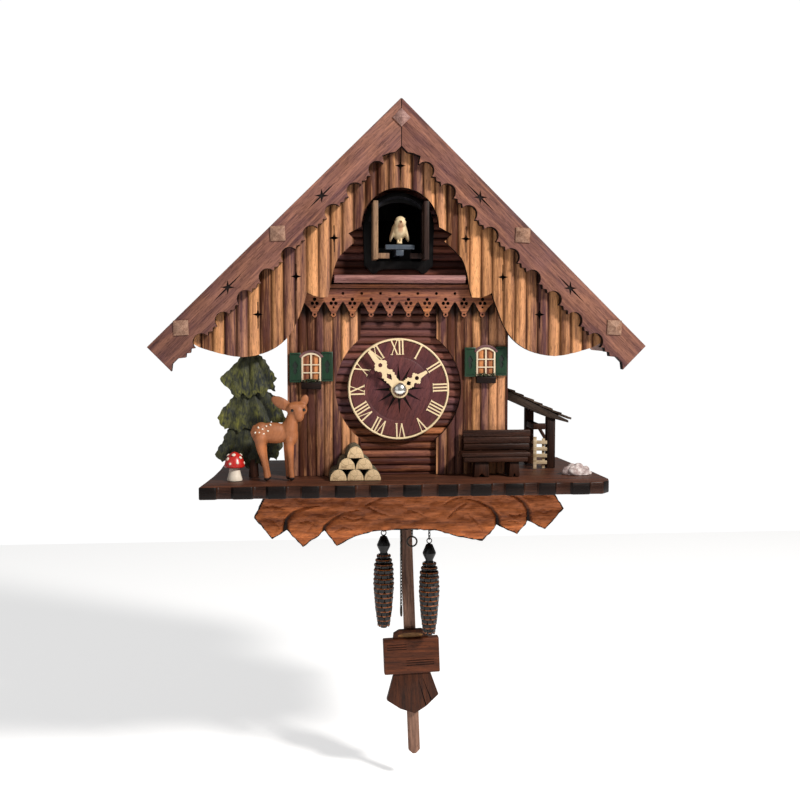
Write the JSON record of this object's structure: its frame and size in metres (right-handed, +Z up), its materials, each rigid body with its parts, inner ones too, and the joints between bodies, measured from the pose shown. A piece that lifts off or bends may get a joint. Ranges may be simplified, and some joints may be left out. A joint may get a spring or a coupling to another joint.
{
  "type": "cuckoo clock",
  "caption": "Wall-hung chalet cuckoo clock: gabled case with scalloped roof boards, round dial, bird doors, platform with figures, swinging pendulum and cones on chains.",
  "frame": {"origin": "where the wall screw bears in the back board's keyhole, on the wall plane", "axes": "+Z up, +Y into the wall, so the dial faces -Y, and +X is the viewer's right"},
  "size_m": [0.3206, 0.1345, 0.4541],
  "materials": {
    "walnut": "satin stained walnut, grain along the boards",
    "amber_wood": "satin oiled wood with dark stain in the flutes",
    "log_wood": "satin stained wood with dark grooves",
    "roof_wood": "matt dark stained wood",
    "platform_wood": "satin dark stained wood, scorched edges",
    "carved_wood": "satin carved wood, dark stain in the cuts",
    "black_wood": "satin black stained wood",
    "raw_wood": "raw light wood",
    "dial_wood": "satin reddish brown stained wood",
    "cream_plastic": "matt ivory plastic",
    "green_paint": "glossy green paint on wood",
    "white_paint": "matt white plastic",
    "tree_paint": "matt green paint brushed over carved wood",
    "fawn_paint": "satin painted resin",
    "mushroom_paint": "glossy red and white paint",
    "bark": "rough bark and weathered shingle",
    "stone": "rough pale resin rock",
    "black_plastic": "matt black moulded plastic",
    "cell": "plain metal battery can",
    "steel": "bright steel",
    "brass": "plain brass",
    "chain_steel": "blackened steel chain",
    "cone_paint": "black with coppery scale edges"
  },
  "bodies": {
    "case": {"bargeboard_left": "walnut", "bargeboard_right": "walnut", "trim_ledge": "walnut", "side_wall_left": "amber_wood", "side_wall_right": "amber_wood", "front_cladding_left": "amber_wood", "front_cladding_right": "amber_wood", "gable_panel": "amber_wood", "front_board": "log_wood", "roof_board_left": "roof_wood", "roof_board_right": "roof_wood", "back_board": "roof_wood", "platform": "platform_wood", "bench": "platform_wood", "shed_frame": "platform_wood", "flower_box_left": "platform_wood", "flower_box_right": "platform_wood", "carved_base": "carved_wood", "trim_board": "carved_wood", "door_frame": "black_wood", "shed_rack": "raw_wood", "dial": "dial_wood", "dial_ring": "cream_plastic", "shutter_left_left": "green_paint", "shutter_left_right": "green_paint", "shutter_right_left": "green_paint", "shutter_right_right": "green_paint", "window_frame_left": "white_paint", "window_frame_right": "white_paint", "tree": "tree_paint", "deer": "fawn_paint", "mushroom": "mushroom_paint", "log_pile": "bark", "shed_roof": "bark", "stone": "stone", "movement_case": "black_plastic", "speaker": "black_plastic", "cuckoo_guide": "black_plastic", "battery": "cell", "center_bush": "brass", "dial_nut": "brass", "pendulum_hanger": "brass"},
    "minute_hand": {"minute_hand": "cream_plastic", "hand_nut": "steel"},
    "hour_hand": {"hour_hand": "cream_plastic"},
    "cuckoo": {"cuckoo": "raw_wood", "cuckoo_carriage": "steel"},
    "door_left": {"door_left": "raw_wood"},
    "door_right": {"door_right": "raw_wood"},
    "pendulum": {"pendulum_rod": "walnut", "pendulum_bob": "walnut"},
    "left_weight": {"cone_left": "cone_paint", "chain_left_weight": "chain_steel"},
    "left_pull": {"chain_left_pull": "chain_steel"},
    "left_wheel": {"chain_wheel_left": "brass"},
    "right_weight": {"cone_right": "cone_paint", "chain_right_weight": "chain_steel"},
    "right_pull": {"chain_right_pull": "chain_steel"},
    "right_wheel": {"chain_wheel_right": "brass"},
    "hatch": {"back_hatch": "roof_wood"}
  },
  "joints": [
    {"name": "minute_hand_turn", "type": "hinge", "parent": "case", "child": "minute_hand", "pos_m": [0, -0.0971, -0.1388], "axis": [0, 1, 0], "continuous": true},
    {"name": "hour_hand_turn", "type": "hinge", "parent": "case", "child": "hour_hand", "pos_m": [0, -0.0954, -0.1388], "axis": [0, 1, 0], "continuous": true},
    {"name": "cuckoo_slide", "type": "slide", "parent": "case", "child": "cuckoo", "axis": [0, 1, 0], "range_m": [0, 0.024]},
    {"name": "door_left_swing", "type": "hinge", "parent": "case", "child": "door_left", "pos_m": [-0.0163, -0.0929, -0.038], "axis": [0, 0, 1], "range_deg": [0, 90]},
    {"name": "door_right_swing", "type": "hinge", "parent": "case", "child": "door_right", "pos_m": [0.0163, -0.0929, -0.038], "axis": [0, 0, -1], "range_deg": [0, 90]},
    {"name": "pendulum_swing", "type": "hinge", "parent": "case", "child": "pendulum", "pos_m": [0.0053, -0.03, -0.092], "axis": [0, -1, 0], "range_deg": [-6.6, 2.4]},
    {"name": "left_weight_slide", "type": "slide", "parent": "case", "child": "left_weight", "axis": [0, 0, 1], "range_m": [-0.045, 0.03]},
    {"name": "left_pull_slide", "type": "slide", "parent": "case", "child": "left_pull", "axis": [0, 0, 1], "range_m": [-0.03, 0.045]},
    {"name": "left_wheel_turn", "type": "hinge", "parent": "case", "child": "left_wheel", "pos_m": [-0.0005, -0.05, -0.156], "axis": [0, 1, 0], "range_deg": [-420, 280]},
    {"name": "right_weight_slide", "type": "slide", "parent": "case", "child": "right_weight", "axis": [0, 0, 1], "range_m": [-0.035, 0.03]},
    {"name": "right_pull_slide", "type": "slide", "parent": "case", "child": "right_pull", "axis": [0, 0, 1], "range_m": [-0.03, 0.035]},
    {"name": "right_wheel_turn", "type": "hinge", "parent": "case", "child": "right_wheel", "pos_m": [0.01935, -0.05, -0.156], "axis": [0, 1, 0], "range_deg": [-283, 330]},
    {"name": "hatch_swing", "type": "hinge", "parent": "case", "child": "hatch", "pos_m": [-0.045, 0, -0.141], "axis": [0, 0, 1], "range_deg": [0, 110]}
  ],
  "couplings": [
    {"joint": "hour_hand_turn", "follows": "minute_hand_turn", "ratio": 0.083333},
    {"joint": "door_left_swing", "follows": "cuckoo_slide", "rad_per_m": 65.4},
    {"joint": "door_right_swing", "follows": "cuckoo_slide", "rad_per_m": 65.4},
    {"joint": "left_pull_slide", "follows": "left_weight_slide", "ratio": -1},
    {"joint": "left_wheel_turn", "follows": "left_weight_slide", "rad_per_m": 162.6},
    {"joint": "right_pull_slide", "follows": "right_weight_slide", "ratio": -1},
    {"joint": "right_wheel_turn", "follows": "right_weight_slide", "rad_per_m": -163.9}
  ]
}
